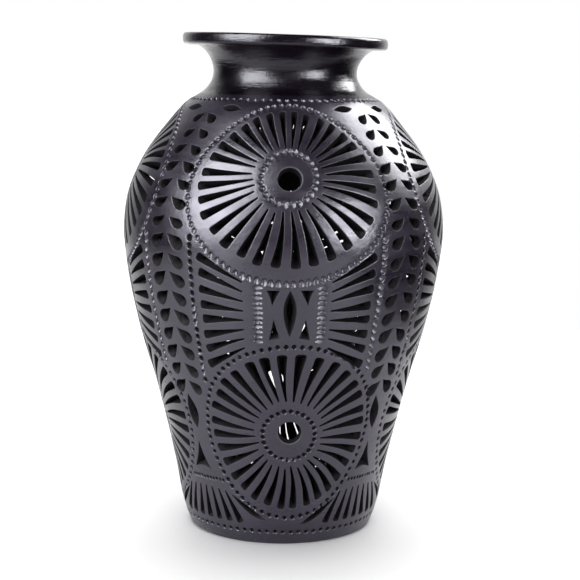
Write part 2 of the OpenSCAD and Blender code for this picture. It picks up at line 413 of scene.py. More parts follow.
def band_foot(pat, base, rng):
    c = base + BAND
    shape(pat, c, 75.5, [(-1.4, 10.6), (1.8, 4.4), (3.1, -1), (2.1, -6.2), (0.9, -10.2),
                         (-1.6, -6.2), (-3.1, -0.6), (-2.7, 5.4)], (0, 4))
    shape(pat, c, 49, [(0, 9), (1.7, 0.8), (5.7, -7.4), (0, -5.4), (-5.7, -7.4), (-1.7, 0.8)],
          (0, 2, 4))
    scale = radius(22)
    step = scale * math.pi / 180
    for i in range(-3, 4):
        tip = np.array([i * 4.4 * step, 31.5 - 0.12 * i * i])
        end = np.array([i * 7.0 * step, 12.4])
        pat.cut(c, scale, *wedge(tip, end, SLOT_TIP, FOOT_FAN_W, rng))
    for side in (-1, 1):
        shape(pat, c + side * 26, 20.5 + 1.2 * side, [(-9.8, 7.9), (-5.6, 2.6), (0.5, -3.4),
                                                      (6.8, -6.9), (9.6, -6.5), (3, -0.8),
                                                      (-5, 4.9)], (0, 4), side)
    for i in range(-7, 8):
        deg = BAND + 2.1 * i
        if all(outside_ring(LOWER, d, BORDER_S, 2.2) for d in (deg, deg - 360 / PANELS)):
            pat.dent(base + deg, BORDER_S, 1.3, 0.85, 1.3, 0, rng)


def side_columns(pat, base, rng):
    """Broad oval marks on a panel's right and round pits on its left, larger towards the top."""
    for side, (high, wide, depth, slant) in ((-1, (1.55, 1.45, 1.6, 0)), (1, (1.65, 1.75, 1.1, 0.5))):
        for s in np.arange(*COLUMN_S, COLUMN_PITCH):
            deg = side * COLUMN
            if all(outside_ring(m, deg, s, 2.6) for m in (UPPER, LOWER)):
                size = 0.95 + 0.2 * min(1, max(0, (s - 90) / 60))
                pat.dent(base + deg, s, high * size, wide * size, depth * size, slant, rng)


def round_rows(pat, rng):
    for (count, s), mark in ((NECK_ROW, (1.75, 1.15, 1.2, 0.5)), (FOOT_ROW, (1.3, 1.3, 1.6, 0))):
        for i in range(count):
            pat.dent(360 * i / count, s, *mark, rng)


def whole_pattern():
    pat = Pattern()
    for k in range(PANELS):
        rng = random.Random(100 + k)
        base = k * 360 / PANELS
        medallion(pat, base, UPPER, rng)
        medallion(pat, base, LOWER, rng)
        side_fans(pat, base, rng)
        crossed_bars(pat, base, rng)
        drops(pat, base, rng)
        band_foot(pat, base, rng)
        side_columns(pat, base, rng)
    round_rows(pat, random.Random(99))
    return pat


# ---------------- flat sheet
def wrapped(d):
    return (d + math.pi) % TURN - math.pi


def inside(points, loop):
    """Which points lie inside a closed loop, by crossings."""
    x, y = points[:, 0][:, None], points[:, 1][:, None]
    x0, y0 = loop[:, 0], loop[:, 1]
    x1, y1 = np.roll(x0, -1), np.roll(y0, -1)
    over = (y0 > y) != (y1 > y)
    cross = x < (x1 - x0) * (y - y0) / np.where(y1 == y0, TINY, y1 - y0) + x0
    return (over & cross).sum(1) % 2 == 1


def near(points, loop, gap):
    """Which points lie inside a loop or within gap of its edges."""
    p, q = loop, np.roll(loop, -1, axis=0)
    d = q - p
    w = points[:, None, :] - p[None]
    t = np.clip((w * d).sum(-1) / np.maximum((d * d).sum(-1), TINY), 0, 1)
    dist = np.hypot(*np.moveaxis(w - t[..., None] * d, -1, 0)).min(1)
    return inside(points, loop) | (dist < gap)


def split_at_seams(a, s, shift, seams):
    """A loop with a point put in wherever it crosses a seam; returns each point's seam too."""
    out = []
    n = len(a)
    for i in range(n):
        on = next((k for k, v in enumerate(seams) if abs(s[i] - v) < ON_SEAM), -1)
        out.append((a[i], seams[on] if on >= 0 else s[i], on, *shift[i]))
        j = (i + 1) % n
        for k, v in enumerate(seams):
            if (out[-1][1] - v) * (s[j] - v) < 0 and abs(s[j] - v) >= ON_SEAM and out[-1][2] != k:
                t = (v - s[i]) / (s[j] - s[i])
                out.append((a[i] + t * (a[j] - a[i]), v, k, *(shift[i] + t * (shift[j] - shift[i]))))
    out = np.array(out)
    return out[:, 0], out[:, 1], out[:, 2], out[:, 3:]


class Cut:
    """One opening: its rings as (angle, length) arrays, split where they cross a seam."""

    def __init__(self, a, s, shift, edge, wall, seams):
        self.s0 = float(s.mean())
        self.a0 = float(np.arctan2(np.sin(a).mean(), np.cos(a).mean()))
        self.r0 = float(radius(self.s0))
        self.loop = np.stack([wrapped(a - self.a0) * self.r0, s - self.s0], -1)
        self.shift = shift
        self.edge = edge
        self.wall = wall
        self.seams = seams
        self.reach = grow(self.loop, edge[-1][0])

    def ring(self, out):
        loop = self.loop if out == 0 else grow(self.loop, out)
        return split_at_seams(self.a0 + loop[:, 0] / self.r0, self.s0 + loop[:, 1],
                              self.shift, self.seams)

    def spare(self, a, s, gap):
        """Indices of the points that are in the way of this cut's rings."""
        v = s - self.s0
        maybe = np.flatnonzero(np.abs(v) < np.abs(self.reach[:, 1]).max() + gap)
        u = wrapped(a[maybe] - self.a0) * self.r0
        maybe, u = (x[np.abs(u) < np.abs(self.reach[:, 0]).max() + gap] for x in (maybe, u))
        if not len(maybe):
            return maybe
        return maybe[near(np.stack([u, v[maybe]], -1), self.reach, gap)]


def clear_of(a, s, cuts, gap):
    keep = np.ones(len(a), bool)
    for c in cuts:
        keep[c.spare(a, s, gap)] = False
    return keep


class Sheet:
    """Points and fixed edges of one face of the wall, laid flat and triangulated."""

    def __init__(self, seams):
        self.rows = []
        self.edges = []
        self.count = 0
        self.seams = seams

    def add(self, a, s, sunk=0.0, seam=-1, loop=-1, closed=False):
        n, first = len(a), self.count
        self.rows.append(np.stack(np.broadcast_arrays(a, s, sunk, seam, loop), -1))
        if closed:
            self.edges += [(first + i, first + (i + 1) % n) for i in range(n)]
        self.count += n
        return np.arange(first, first + n)

    def triangulate(self):
        table = np.concatenate(self.rows)
        a, s, _, seam, loop = table.T
        for k in range(len(self.seams)):
            ids = np.flatnonzero(seam == k)
            ids = ids[np.argsort(a[ids] % TURN)]
            self.edges += list(zip(ids.tolist(), np.roll(ids, -1).tolist()))
        made = delaunay_2d_cdt([Vector(p) for p in flat(a, s).tolist()], self.edges, [], 0, 1e-7)
        points = np.array([v[:] for v in made[0]])
        source = np.full(len(points), -1)
        self.place = np.full(len(a), -1)
        for i, olds in enumerate(made[3]):
            self.place[olds] = i
            if olds:
                source[i] = max(olds, key=lambda j: loop[j])
        out = np.column_stack([*unflat(points), np.tile((0.0, -1, -1), (len(points), 1))])
        out[source >= 0] = table[source[source >= 0]]
        self.a, self.s, self.sunk, self.seam, self.loop = out.T
        for k, v in enumerate(self.seams):
            self.seam[(self.seam < 0) & (np.abs(self.s - v) < 2e-3)] = k
        tris = np.array([f[:3] for f in made[2] if len(f) == 3])
        p, q, r = (points[tris[:, i]] for i in range(3))
        turn = (q - p)[:, 0] * (r - p)[:, 1] - (q - p)[:, 1] * (r - p)[:, 0]
        tris[turn < 0] = tris[turn < 0][:, ::-1]
        loops = self.loop[tris]
        hole = (loops[:, 0] >= 0) & (loops[:, 0] == loops[:, 1]) & (loops[:, 1] == loops[:, 2])
        hole |= (self.seam[tris] == 0).all(1)
        self.tris = tris[~hole]


# ---------------- the carved wall
def hex_points(step):
    """Evenly spread points over the whole outline, in staggered rows."""
    rows = np.arange(step * 0.43, S_TOP, step * 0.866)
    out_a, out_s = [], []
    for i, s in enumerate(rows):
        n = max(24, int(round(TURN * radius(s) / step)))
        out_a.append((np.arange(n) + 0.5 * (i % 2) + 0.17) * TURN / n)
        out_s.append(np.full(n, s))
    return np.concatenate(out_a), np.concatenate(out_s)


def dent_points(dents):
    """Sample points in and just round each dent."""
    rings = [(0.0, 1), (0.36, 6), (0.66, 12), (0.88, 12), (0.985, 12), (1.14, 12)]
    unit = np.vstack([disc(r, n) for r, n in rings])
    a0, s0, high, wide, _, slant, _ = dents.T[:, :, None]
    u, v = unit[None, :, 0] * wide, unit[None, :, 1] * high
    u, v = u * np.cos(slant) - v * np.sin(slant), u * np.sin(slant) + v * np.cos(slant)
    return (a0 + u / radius(s0)).ravel(), (s0 + v).ravel()


def dent_depth(dents, a, s):
    """How deep the punch marks press each point in, and how dull and dark they leave it (0 to 1); the
    darkening is painted shade in the pits.
    """
    order = np.argsort(s)
    sorted_s = s[order]
    deep, inner = np.zeros(len(a)), np.zeros(len(a))
    for a0, s0, high, wide, depth, slant, lean in dents:
        reach = 1.3 * max(high, wide)
        lo, hi = np.searchsorted(sorted_s, (s0 - reach, s0 + reach))
        ids = order[lo:hi]
        u, v = wrapped(a[ids] - a0) * radius(s0), s[ids] - s0
        close = np.abs(u) < reach
        ids, u, v = ids[close], u[close], v[close]
        x = (u * math.cos(slant) + v * math.sin(slant)) / wide
        y = (-u * math.sin(slant) + v * math.cos(slant)) / high
        r = np.hypot(x, y)
        chisel = wide > 1.5 * high
        soft = depth < wide
        pit = np.clip(1 - r * r, 0, 1) ** (0.35 if chisel else 0.5 if soft else 0.6)
        press = depth * pit * (1 + (0.85 if chisel else 0.55 if soft else 0.25) * y + lean * x)
        deep[ids] = np.where(np.abs(press) > np.abs(deep[ids]), press, deep[ids])
        inner[ids] = np.maximum(inner[ids], pit * (1 if depth > wide else 0.3))
    return deep, inner


def add_rings(sheet, k, cut, rings):
    """Put a cut's rings on a sheet, the first of them the edge of its hole."""
    made = []
    for out, sunk in rings:
        a, s, seam, shift = cut.ring(out)
        made.append((sheet.add(a, s, sunk, seam, -1 if made else k, closed=True), shift))
    return made[0]


def outer_face(cuts, dents, seams):
    sheet = Sheet(seams)
    for k, c in enumerate(cuts):
        c.outer_ids, _ = add_rings(sheet, k, c, c.edge)
    add_seams(sheet, cuts)
    a, s = dent_points(dents)
    ok = clear_of(a, s, cuts, 0.22) & off_seams(s, seams, 0.25)
    sheet.add(a[ok], s[ok])
    a, s = hex_points(GRID)
    ok = clear_of(a, s, cuts, 0.9) & off_seams(s, seams, 0.8)
    for a0, s0, high, wide in dents[:, :4]:
        reach = 1.12 * max(high, wide) + 0.5
        ok &= ~((np.abs(s - s0) < reach)
                & (np.abs(wrapped(a - a0)) * radius(s0) < 1.12 * wide + 0.6))
    sheet.add(a[ok], s[ok])
    sheet.triangulate()
    return sheet


def inner_face(cuts, seams):
    sheet = Sheet(seams)
    for k, c in enumerate(cuts):
        c.inner_ids, shift = add_rings(sheet, k, c, ((0, WALL - EDGE_INSIDE), (0.45, WALL)))
        c.inner_shift = shift / [c.r0, 1]
    add_seams(sheet, cuts)
    a, s = hex_points(GRID_INSIDE)
    ok = clear_of(a, s, cuts, 0.9) & off_seams(s, seams, 1.2)
    sheet.add(a[ok], s[ok], WALL)
    sheet.triangulate()
    sheet.sunk[sheet.sunk < 1] = WALL
    return sheet


def off_seams(s, seams, gap):
    return np.abs(s[:, None] - np.array(seams)[None]).min(1) > gap


def add_seams(sheet, cuts):
    a = np.arange(SEAM_POINTS) * TURN / SEAM_POINTS
    for k, s0 in enumerate(sheet.seams):
        ok = clear_of(a, np.full(len(a), s0), cuts, 0.35)
        sheet.add(a[ok], s0, 0.0, k)


def wrap_inside(a, s, sunk):
    """The inner face, scraped by hand into a low ridge to each coil, with a cove down to the
    floor slab at the foot."""
    calm = np.clip((S_TOP - s) / 10, 0, 1) * np.clip((s - 8) / 8, 0, 1)
    ridge = 0.28 * np.sin(TURN * s / 9.5 + 2.2 * field(SWELL, a, s))
    p = wrap(a, s, calm * (ridge + 0.2 * field(RIPPLE, -a, s)) * (sunk > WALL - 0.2) - sunk)
    r = np.hypot(p[:, 0], p[:, 1])
    z = p[:, 2] - np.clip(1 - s / SEAM_S[0], 0, 1) * p[np.argmin(s), 2]
    pull = np.clip(1 - (z - FLOOR_H) / (SEAM_Z[0] - FLOOR_H + 0.5), 0, 1) ** 2
    pull = np.where(z < FLOOR_H, 1, pull)
    scale = (r + (FLOOR_R - r) * pull) / r
    return np.stack([p[:, 0] * scale, p[:, 1] * scale, np.maximum(z, 0)], -1)


def vertex_normals(points, tris):
    """Normals of a triangle mesh, weighted by area and angle so that flat parts stay flat."""
    out = np.zeros_like(points)
    corner = points[tris]
    n = np.cross(corner[:, 1] - corner[:, 0], corner[:, 2] - corner[:, 0])
    for i in range(3):
        e1 = corner[:, (i + 1) % 3] - corner[:, i]
        e2 = corner[:, (i + 2) % 3] - corner[:, i]
        c = (e1 * e2).sum(1) / np.maximum(np.linalg.norm(e1, axis=1) * np.linalg.norm(e2, axis=1),
                                          1e-15)
        w = np.arccos(np.clip(c, -1, 1))
        for k in range(3):
            out[:, k] += np.bincount(tris[:, i], n[:, k] * w, len(points))
    return out / np.maximum(np.linalg.norm(out, axis=1), 1e-15)[:, None]


def runs(ids, a, loop):
    """The stretches of clay along a seam, between the openings that cross it."""
    ids = ids[np.argsort(a[ids] % TURN)]
    n = len(ids)
    gaps = [i for i in range(n) if loop[ids[i]] >= 0 and loop[ids[i]] == loop[ids[(i + 1) % n]]]
    if not gaps:
        return [np.r_[ids, ids[:1]]]
    return [ids[np.arange(g + 1, h + 1) % n]
            for g, h in zip(gaps, gaps[1:] + [gaps[0] + n]) if h > g + 1]


def zip_chains(outer, inner, a, rows):
    """Triangles across the wall between two chains of points, facing up."""
    o, i = list(outer), list(inner)
    tris = []
    left, right = rows.get(o[0], []), rows.get(o[-1], [])
    first, last = 0, len(o) - 1
    if left:
        chain = left + [i[0]]
        tris.append((o[0], o[1], chain[0]))
        tris += [(o[1], q, p) for p, q in zip(chain, chain[1:])]
        first = 1
    if right:
        last = len(o) - 2
    x, y = first, 0
    whole = o[0] == o[-1]
    turn_o = [(a[v] - a[o[0]]) % TURN for v in o]
    turn_i = [(a[v] - a[i[0] if whole else o[0]]) % TURN for v in i]
    if whole:
        turn_o[-1] = turn_i[-1] = TURN
    while x < last or y < len(i) - 1:
        if y == len(i) - 1 or (x < last and turn_o[x + 1] <= turn_i[y + 1]):
            tris.append((o[x], o[x + 1], i[y]))
            x += 1
        else:
            tris.append((o[x], i[y + 1], i[y]))
            y += 1
    if right:
        chain = right + [i[-1]]
        tris += [(o[last], p, q) for p, q in zip(chain, chain[1:])]
        tris.append((o[last], o[-1], chain[0]))
    return tris


def carved_wall():
    """All six courses at once: points, normals, paint values, and each course's faces."""
    pat = whole_pattern()
    seams = [0.0] + SEAM_S
    cuts = [Cut(*parts, seams) for parts in pat.cuts]
    dents = np.array(pat.dents)
    face, back = outer_face(cuts, dents, seams), inner_face(cuts, seams)
    deep, marked = dent_depth(dents, face.a, face.s)
    lift = unevenness(face.a, face.s) - face.sunk - deep * (face.sunk < 0.05)
    outer = wrap(face.a, face.s, lift)
    in_a, in_s = back.a.copy(), back.s.copy()
    straight = wrap_inside(in_a, in_s, back.sunk)
    for c in cuts:
        low = back.place[c.inner_ids]
        in_a[low] += c.inner_shift[:, 0]
        in_s[low] += c.inner_shift[:, 1]
    inner = wrap_inside(in_a, in_s, back.sunk)
    no, ni = len(outer), len(inner)
    points = [outer, inner]
    angle, length = [face.a, back.a], [face.s, back.s]
    bare = [np.clip((face.sunk - 0.05) / 0.2, 0, 1), np.ones(ni)]
    total = no + ni
    quads, rows = [], {}
    for c in cuts:
        top, low = face.place[c.outer_ids], back.place[c.inner_ids]
        ladder = [top]
        for t, share in zip((0.13, 0.6), c.wall):
            ids = np.arange(total, total + len(top))
            narrow = inner[low] * share + straight[low] * (1 - share)
            points.append(outer[top] * (1 - t) + narrow * t)
            angle.append(face.a[top])
            length.append(face.s[top])
            bare.append(np.ones(len(top)))
            total += len(top)
            ladder.append(ids)
        ladder.append(low + no)
        for i in range(len(top)):
            if face.seam[top[i]] >= 0:
                rows[int(top[i])] = [int(ladder[1][i]), int(ladder[2][i])]
        for upper, lower in zip(ladder, ladder[1:]):
            quads.append(np.stack([upper, np.roll(upper, -1), np.roll(lower, -1), lower], -1))
    points, angle, length, bare = (np.concatenate(v) for v in (points, angle, length, bare))
    quads = np.concatenate(quads)
    skin = face.tris[:, ::-1]
    rest = np.concatenate([back.tris + no, quads[:, [0, 1, 2]], quads[:, [0, 2, 3]]])
    tris = np.concatenate([skin, rest])
    skin_normals, cut_normals = vertex_normals(points, skin), vertex_normals(points, rest)
    rim = np.flatnonzero(face.seam == len(seams) - 1)
    skin_normals[rim] = at_angle(face.a[rim], *outward(face.s[rim]))
    skin_normals[no:] = cut_normals[no:]
    plain = np.linalg.norm(cut_normals, axis=1) < 0.5
    cut_normals[plain] = skin_normals[plain]
    normals = np.stack([skin_normals, cut_normals])

    loop = np.r_[face.loop, back.loop]
    lids = []
    for k in range(len(seams)):
        out, inn = (runs(np.flatnonzero(sheet.seam == k) + start, angle, loop)
                        for sheet, start in ((face, 0), (back, no)))
        assert len(out) == len(inn), f"an opening crosses seam {k} on one face only"
        lids.append(np.concatenate([zip_chains(o, i, angle, rows)
                                    for o, i in zip(out, inn)]))
    middle = length[tris].mean(1)
    courses = []
    for k in range(len(seams) - 1):
        mine = tris[(middle > seams[k]) & (middle < seams[k + 1])]
        courses.append(np.concatenate([mine, lids[k][:, ::-1], lids[k + 1]]))
    raw_and_pit_shade = np.zeros(len(points))
    raw_and_pit_shade[no:] = 1
    # deep punch marks also take the raw clay, whose darker colour there is painted shade in the pit
    raw_and_pit_shade[:no] = marked > DEEP_MARK
    for c in cuts:
        raw_and_pit_shade[face.place[c.outer_ids]] = 1
    none = np.zeros(len(points) - no)
    # rounded cut edges, lightened in the clay's colour as a painted highlight and made rougher
    worn = np.clip(face.sunk / 0.12, 0, 1) * (face.sunk < 0.5)
    paint = {"bare": bare, "mark": np.r_[marked, none], "worn": np.r_[worn, none],
             "inside": raw_and_pit_shade}
    return points * MM, normals, paint, courses


def new_object(name, data):
    obj = bpy.data.objects.new(name, data)
    bpy.context.scene.collection.objects.link(obj)
    return obj


# How far each point is cut bare, rounded as an edge, and pressed in as a mark, from 0 to 1; the edges
# are lightened as a painted highlight and the marks darkened as painted shade
PAINT = ("bare", "worn", "mark")


def make_piece(name, points, normals, faces, paint, nodes, slot, skins):
    """A Blender mesh from the shared arrays, keeping only the points that it uses. Faces whose
    points are all marked inside take the second material, and the second set of normals; the deep
    punch marks are marked inside too, and the second material's darker colour there is painted shade."""
    used, flat_faces = np.unique(faces, return_inverse=True)
    flat_faces = flat_faces.reshape(faces.shape)
    mesh = bpy.data.meshes.new(name)
    mesh.vertices.add(len(used))
    mesh.vertices.foreach_set("co", points[used].astype(np.float32).ravel())
    mesh.loops.add(flat_faces.size)
    mesh.loops.foreach_set("vertex_index", flat_faces.astype(np.int32).ravel())
    mesh.polygons.add(len(faces))
    mesh.polygons.foreach_set("loop_start", np.arange(0, flat_faces.size, 3, dtype=np.int32))
    mesh.update(calc_edges=True)
    mesh.polygons.foreach_set("use_smooth", np.ones(len(faces), bool))
    raw_and_pit_shade = paint["inside"][faces].min(1) > 0.5
    corners = np.where(raw_and_pit_shade[:, None, None], normals[-1][faces], normals[0][faces])
    mesh.normals_split_custom_set(corners.reshape(-1, 3).tolist())
    for skin in skins:
        mesh.materials.append(skin)
    mesh.polygons.foreach_set("material_index", raw_and_pit_shade.astype(np.int32))
    for key in PAINT:
        layer = mesh.attributes.new(key, "FLOAT", "POINT")
        layer.data.foreach_set("value", paint[key][used].astype(np.float32))
    mesh.validate(clean_customdata=False)
    obj = new_object(name, mesh)
    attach(obj, "root")
    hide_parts(*nodes)


# ---------------- neck, lip and floor slab
def rounded(corners, step):
    """An open line with its corners cut three times over, ends kept, evenly spaced."""
    p = np.array(corners, float)
    for _ in range(3):
        q = [p[0]]
        for a, b in zip(p, p[1:]):
            q += [a * 0.75 + b * 0.25, a * 0.25 + b * 0.75]
        p = np.array(q[:1] + q[2:-1] + [p[-1]])
    d = lengths(p)
    t = np.linspace(0, d[-1], max(2, int(round(d[-1] / step)) + 1))
    return np.stack([np.interp(t, d, v) for v in p.T], -1)


BURNISH = waves(21, 8, (1, 2, 3, 5, 8), (5, 12))
OUT_OF_ROUND = waves(22, 4, (2, 3), (60, 120))
NECK_TURNS = 300
LIP_TILT = 1.3


def neck_profile():
    """The neck's closed outline: up outside, over the lip, down the throat, with its seams."""
    throat_s = float(np.interp(254, LINE[:, 1], ARC))
    lower = np.linspace(S_TOP, throat_s, 18)
    upper = np.linspace(throat_s, ARC[-1], 22)
    trace = lambda s: np.stack([radius(s), np.interp(s, ARC, LINE[:, 1])], -1)
    e, z = LIP_R, TOP_Z
    nr, nz = outward(S_TOP)
    inner_end = (radius(S_TOP) - nr * WALL, SEAM_Z[-1] - nz * WALL)
    mouth = (THROAT_R + 7, z - 6)
    parts = [trace(lower), trace(upper),
             rounded([(radius(ARC[-1]), z - 6), (e - 4.6, z - 6), (e - 1.3, z - 5.7),
                      (e, z - 4.5), (e, z - 0.9), (e - 0.8, z + 0.3), (e - 2.2, z + 0.6),
                      (e - 5, z), (THROAT_R + 11, z - 3.2), mouth], 0.5),
             rounded([mouth, (THROAT_R + 2, z - 10.4), (THROAT_R, z - 13), (THROAT_R, 254)], 0.8),
             rounded([(THROAT_R, 254), (THROAT_R, 247.5), (THROAT_R + 2, 244.6),
                      (THROAT_R + 6.5, 241.8), inner_end], 1.2)]
    marks = np.cumsum([len(p) - 1 for p in parts])
    return np.vstack([p[:-1] for p in parts] + [parts[-1][-1:]]), [0] + [int(m) for m in marks]


def turned(profile, turns, lift):
    """Points of a profile turned round the axis, each moved off the surface by lift."""
    d = np.gradient(profile, axis=0)
    d /= np.maximum(np.hypot(*d.T), 1e-9)[:, None]
    a, s = np.meshgrid(np.arange(turns) * TURN / turns, lengths(profile))
    h = lift(a, s, profile)
    return at_angle(a, profile[:, :1] + h * d[:, 1:], profile[:, 1:] - h * d[:, :1])


def strip(i0, i1, turns):
    """Faces between any two rows of a turned surface."""
    j = np.arange(turns)
    k = (j + 1) % turns
    a, b, c, d = i0 * turns + j, i0 * turns + k, i1 * turns + k, i1 * turns + j
    return np.concatenate([np.stack([a, b, c], -1), np.stack([a, c, d], -1)])


def band(i0, i1, turns):
    """Faces from row i0 to row i1 by way of every row between them."""
    return np.concatenate([strip(i, i + 1, turns) for i in range(i0, i1)])


def neck():
    profile, (start, o254, o267, i267, i254, end) = neck_profile()
    length = S_TOP + lengths(profile)
    t = NECK_TURNS
    points = turned(profile, t, lambda a, s, p: np.clip(s / 5, 0, 1) * 0.12 * field(BURNISH, a, s))
    rise = np.clip((points[:, :, 2] - 250) / 12, 0, 1)
    rise = rise * rise * (3 - 2 * rise)
    angle = np.arctan2(points[:, :, 0], -points[:, :, 1])
    sway = 1 + rise * 0.35 * field(OUT_OF_ROUND, angle, 0) / LIP_R
    points[:, :, :2] *= sway[:, :, None]
    points[:, :, 2] -= rise * LIP_TILT * points[:, :, 0] / LIP_R
    points = points.reshape(-1, 3)
    normals = vertex_normals(points, band(start, end, t))
    normals[:t] = at_angle(np.arange(t) * TURN / t, *outward(S_TOP))
    none = np.zeros(len(points))
    bare = np.repeat(np.clip((length - length[i267] - 16) / 10, 0, 1), t)
    paint = {"bare": bare, "worn": none, "mark": none, "inside": (bare > 0.5).astype(float)}
    shapes = {
        "neck_base": [band(start, o254, t), band(i254, end, t), strip(o254, i254, t),
                      strip(start, end, t)[:, ::-1]],
        "neck_flare": [band(o254, o267, t), band(i267, i254, t), strip(o267, i267, t),
                       strip(o254, i254, t)[:, ::-1]],
        "rim_lip": [band(o267, i267, t), strip(o267, i267, t)[:, ::-1]]}
    return [(name, points * MM, normals[None], np.concatenate(f), paint)
            for name, f in shapes.items()]


def floor_slab():
    """The disc closing the foot: hollowed a little below, finger-wiped in rings above."""
    turns = 144
    under = [(r, 0.7 * (1 - (r / FLOOR_R) ** 2)) for r in np.linspace(0.5, FLOOR_R - 0.6, 24)]
    edge = [(FLOOR_R, 0.5), (FLOOR_R, FLOOR_H - 0.3)]
    top = [(r, FLOOR_H + 0.28 * math.sin(TURN * r / 7.5) * min(1, (FLOOR_R - r) / 6))
           for r in np.linspace(FLOOR_R - 0.4, 0.5, 60)]
    profile = np.array([(0.02, 0.7)] + under + edge + top + [(0.02, FLOOR_H)])
    points = turned(profile, turns, lambda a, s, p: 0.12 * field(RIPPLE, a, s)
                    * np.clip((s - 50) / 6, 0, 1) * np.clip((p[:, :1] - 2) / 6, 0, 1)).reshape(-1, 3)
    points[:, 2] = np.maximum(points[:, 2], 0)
    rows = len(profile)
    faces = band(0, rows - 1, turns)
    poles = []
    for row, ring in ((0, np.arange(turns)), (rows - 1, np.arange(turns)[::-1])):
        hub = len(points)
        points = np.vstack([points, [[0, 0, profile[row][1]]]])
        ids = row * turns + ring
        poles.append(np.stack([np.full(turns, hub), np.roll(ids, -1), ids], -1))
    faces = np.concatenate([faces] + poles)
    normals = vertex_normals(points, faces)
    none = np.zeros(len(points))
    paint = {"bare": none + 1, "worn": none, "mark": none, "inside": none}
    return points * MM, normals[None], faces, paint


# ---------------- materials
class Nodes:
    """Short hand for a material's node tree."""

    def __init__(self, tree):
        self.tree = tree

    def add(self, kind, values=(), **settings):
        node = self.tree.nodes.new("ShaderNode" + kind)
        for key, value in settings.items():
            setattr(node, key, value)
        for key, value in dict(values).items():
            self.set(node.inputs[key], value)
        return node

    def set(self, socket, value):
        if isinstance(value, bpy.types.NodeSocket):
            self.tree.links.new(value, socket)
        else:
            socket.default_value = value

    def math(self, operation, a, b, clamp=False):
        return self.add("Math", {0: a, 1: b}, operation=operation, use_clamp=clamp).outputs[0]

    def times(self, a, b):
        return self.math("MULTIPLY", a, b)

    def total(self, value, *terms):
        for term in terms:
            value = self.math("ADD", value, term)
        return value

    def remap(self, value, low, high, to_low, to_high):
        return self.add("MapRange", {"Value": value, "From Min": low, "From Max": high,
                                     "To Min": to_low, "To Max": to_high}).outputs[0]

    def blend(self, share, a, b):
        """Colour a turning into colour b; sockets 6, 7 and 2 are the colour ones."""
        return self.add("Mix", {0: share, 6: a, 7: b}, data_type="RGBA").outputs[2]

    def noise(self, where, scale, detail=3.0, rough=0.55, stretch=None):
        if stretch is not None:
            where = self.add("Mapping", {"Vector": where, "Scale": stretch}).outputs[0]
        return self.add("TexNoise", {"Vector": where, "Scale": scale, "Detail": detail,
                                     "Roughness": rough}).outputs["Fac"]


def clay(name, light, dark, raw, gloss, coat, bump, shine, drawn=1.8):
    """Reduced black clay, mottled from light to dark, and raw and dull where it was cut, with painted
    shade darkening its punch marks and a painted highlight lightening its rounded edges. gloss is
    its roughness, shine its specular level, and drawn how far its strokes run round the pot."""
    mat = bpy.data.materials.new(name)
    mat.use_nodes = True
    n = Nodes(mat.node_tree)
    mat.node_tree.nodes.clear()
    where = n.add("TexCoord").outputs["Object"]
    paint = {key: n.add("Attribute", attribute_name=key).outputs["Fac"] for key in PAINT}
    cloud = n.noise(where, 16.0, 4.0)
    smear = n.noise(where, 34.0, 5.0, 0.6, (1.0, 1.0, 3.2))
    stroke = n.noise(where, 90.0, 4.0, 0.6, (1.0, 1.0, drawn))
    grain = n.noise(where, 1500.0, 3.0, 0.6)
    pits = n.noise(where, 420.0, 2.0, 0.5)

    tone = n.blend(n.remap(cloud, 0.35, 0.68, 0.0, 1.0), light, dark)
    # the smear streaks are lighter at random; the rounded cut edges are lightened as a painted highlight
    for share, gain in ((n.remap(smear, 0.5, 0.8, 0.0, 0.5), 1.25), (n.times(paint["worn"], 0.15), 1.5)):
        tone = n.blend(share, tone, [c * gain for c in light[:3]] + [1])
    # painted shade: the punch marks are darkened towards the dark tone
    tone = n.blend(n.times(paint["mark"], 0.45), tone, dark)
    tone = n.blend(paint["bare"], tone, n.blend(cloud, raw, dark))

    rough = n.total(n.remap(smear, 0.3, 0.75, gloss - 0.06, gloss + 0.13),
                    n.remap(grain, 0.3, 0.7, -0.03, 0.03), n.times(paint["mark"], 0.45),
                    n.times(paint["worn"], 0.25))
    rough = n.math("ADD", rough, n.times(paint["bare"], 0.26), clamp=True)

    height = n.total(n.times(stroke, 0.5), n.times(pits, 0.2), n.times(grain, 0.05),
                     n.times(n.times(paint["bare"], pits), 0.9))
    height = n.times(height, n.remap(paint["mark"], 0.0, 1.0, 1.0, 0.4))
    relief = n.add("Bump", {"Height": height, "Strength": 1.0, "Distance": bump})
    shader = n.add("BsdfPrincipled", {
        "Base Color": tone, "Roughness": rough, "IOR": 1.5, "Normal": relief.outputs[0],
        "Coat Weight": coat, "Coat Roughness": 0.16, "Specular IOR Level": shine,
        "Specular Tint": (0.91, 0.91, 1.0, 1)})
    n.add("OutputMaterial", {"Surface": shader.outputs[0]})
    return mat


def floor_material():
    mat = bpy.data.materials.new("pale_floor")
    mat.use_nodes = True
    n = Nodes(mat.node_tree)
    shader = mat.node_tree.nodes["Principled BSDF"]
    where = n.add("TexCoord").outputs["Object"]
    n.set(shader.inputs["Base Color"], n.blend(n.noise(where, 3.0, 3.0), (0.86, 0.86, 0.87, 1),
                                               (0.9, 0.9, 0.9, 1)))
    shader.inputs["Roughness"].default_value = 0.55
    shader.inputs["Specular IOR Level"].default_value = 0.25
    return mat


# ---------------- studio
WORLD_FRONT = 0.03
WORLD_BACK = 1.1
LIT = Vector((0, 0, 0.14))      # what the softboxes are aimed at, in metres
FLOOR_X = (-0.62, 0.31)
FLOOR_Y = (-0.8, 11.2)
CAM_DISTANCE = 0.8406
CAM_HEIGHT = 0.2602
CAM_BEARING = -1.6
CAM_PITCH = 8.67
CAM_ROLL = 0.68
CAM_LENS = 93.5
CAM_ASIDE = 0.2813      # how far right of the pot's axis it looks, in degrees


def new_light(name, kind, energy):
    light = bpy.data.lights.new(name, kind)
    light.energy = energy
    return new_object(name, light), light


